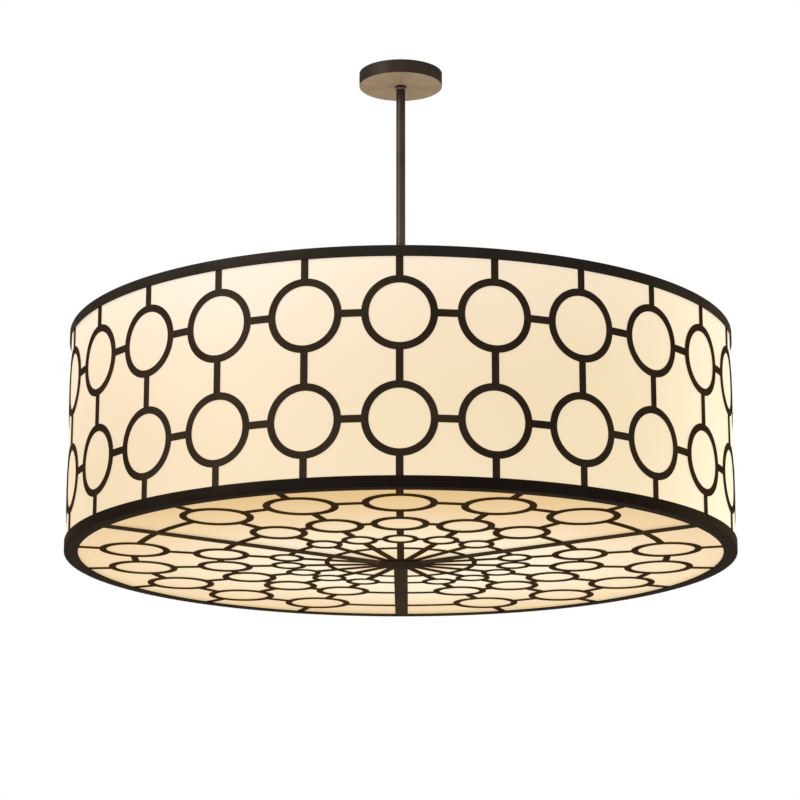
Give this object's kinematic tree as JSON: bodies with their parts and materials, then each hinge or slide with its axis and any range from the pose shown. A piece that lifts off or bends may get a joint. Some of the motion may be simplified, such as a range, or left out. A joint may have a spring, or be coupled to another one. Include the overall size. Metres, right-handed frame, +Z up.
{
  "type": "drum chandelier",
  "caption": "Wide drum chandelier: ring-and-bar metal fretwork over a cream shade, lift-out wedge panels below, rigid stem, round canopy with swivel.",
  "frame": {"origin": "centre of the canopy's rim and of the strap's top face, on the ceiling plane", "axes": "+Z up the stem into the ceiling, -Y towards the front, +X to the right seen from the front"},
  "size_m": [1.2192, 1.2192, 0.9493],
  "materials": {
    "dark_bronze": "satin dark bronze",
    "cream_acrylic": "satin translucent cream, lit from inside",
    "zinc_steel": "bright zinc plate",
    "brass": "plain",
    "white_nylon": "matt",
    "white_porcelain": "glazed",
    "frosted_glass": "frosted, lit"
  },
  "bodies": {
    "ceiling_fixing": {"mounting_strap": "zinc_steel", "strap_nut": "zinc_steel", "swivel_nipple": "brass", "swivel_socket": "brass"},
    "swivel_ring": {"swivel_seat": "white_nylon"},
    "drum": {"swivel_ball": "brass", "stem_upper": "dark_bronze", "stem_lower": "dark_bronze", "top_hub": "zinc_steel", "hub_upper_nut": "zinc_steel", "hub_lower_nut": "zinc_steel", "top_arm_1": "dark_bronze", "top_arm_2": "dark_bronze", "top_arm_3": "dark_bronze", "arm_screw_1": "zinc_steel", "arm_screw_2": "zinc_steel", "arm_screw_3": "zinc_steel", "upper_rim": "dark_bronze", "lower_rim": "dark_bronze", "shade_segment_1": "cream_acrylic", "shade_segment_2": "cream_acrylic", "shade_segment_3": "cream_acrylic", "side_fretwork_1": "dark_bronze", "side_fretwork_2": "dark_bronze", "side_fretwork_3": "dark_bronze", "lamp_cluster": "dark_bronze", "cluster_cover": "dark_bronze", "lamp_arm_1": "dark_bronze", "lamp_arm_2": "dark_bronze", "lamp_arm_3": "dark_bronze", "lamp_arm_4": "dark_bronze", "lamp_arm_5": "dark_bronze", "lamp_arm_6": "dark_bronze", "lamp_socket_1": "white_porcelain", "lamp_socket_2": "white_porcelain", "lamp_socket_3": "white_porcelain", "lamp_socket_4": "white_porcelain", "lamp_socket_5": "white_porcelain", "lamp_socket_6": "white_porcelain", "bulb_1": "frosted_glass", "bulb_2": "frosted_glass", "bulb_3": "frosted_glass", "bulb_4": "frosted_glass", "bulb_5": "frosted_glass", "bulb_6": "frosted_glass", "centre_rod": "zinc_steel", "rod_nut": "zinc_steel", "bottom_hub": "dark_bronze", "seam_bar_1": "dark_bronze", "seam_bar_2": "dark_bronze", "seam_bar_3": "dark_bronze"},
    "canopy_cup": {"canopy": "dark_bronze", "canopy_collar": "dark_bronze", "collar_set_screw": "zinc_steel"},
    "panel_1": {"bottom_fretwork_1": "dark_bronze", "bottom_lens_1": "cream_acrylic"},
    "panel_2": {"bottom_fretwork_2": "dark_bronze", "bottom_lens_2": "cream_acrylic"},
    "panel_3": {"bottom_fretwork_3": "dark_bronze", "bottom_lens_3": "cream_acrylic"}
  },
  "joints": [
    {"name": "swing_about_x", "type": "hinge", "parent": "ceiling_fixing", "child": "swivel_ring", "pos_m": [0, 0, -0.016], "axis": [1, 0, 0], "range_deg": [-3, 3]},
    {"name": "swing_about_y", "type": "hinge", "parent": "swivel_ring", "child": "drum", "pos_m": [0, 0, -0.016], "axis": [0, 1, 0], "range_deg": [-3, 3]},
    {"name": "canopy_drop", "type": "slide", "parent": "drum", "child": "canopy_cup", "axis": [0, 0, -1], "range_m": [0, 0.4]},
    {"name": "panel_1_lift", "type": "slide", "parent": "drum", "child": "panel_1", "axis": [0, 0, 1], "range_m": [0, 0.1]},
    {"name": "panel_2_lift", "type": "slide", "parent": "drum", "child": "panel_2", "axis": [0, 0, 1], "range_m": [0, 0.1]},
    {"name": "panel_3_lift", "type": "slide", "parent": "drum", "child": "panel_3", "axis": [0, 0, 1], "range_m": [0, 0.1]}
  ]
}
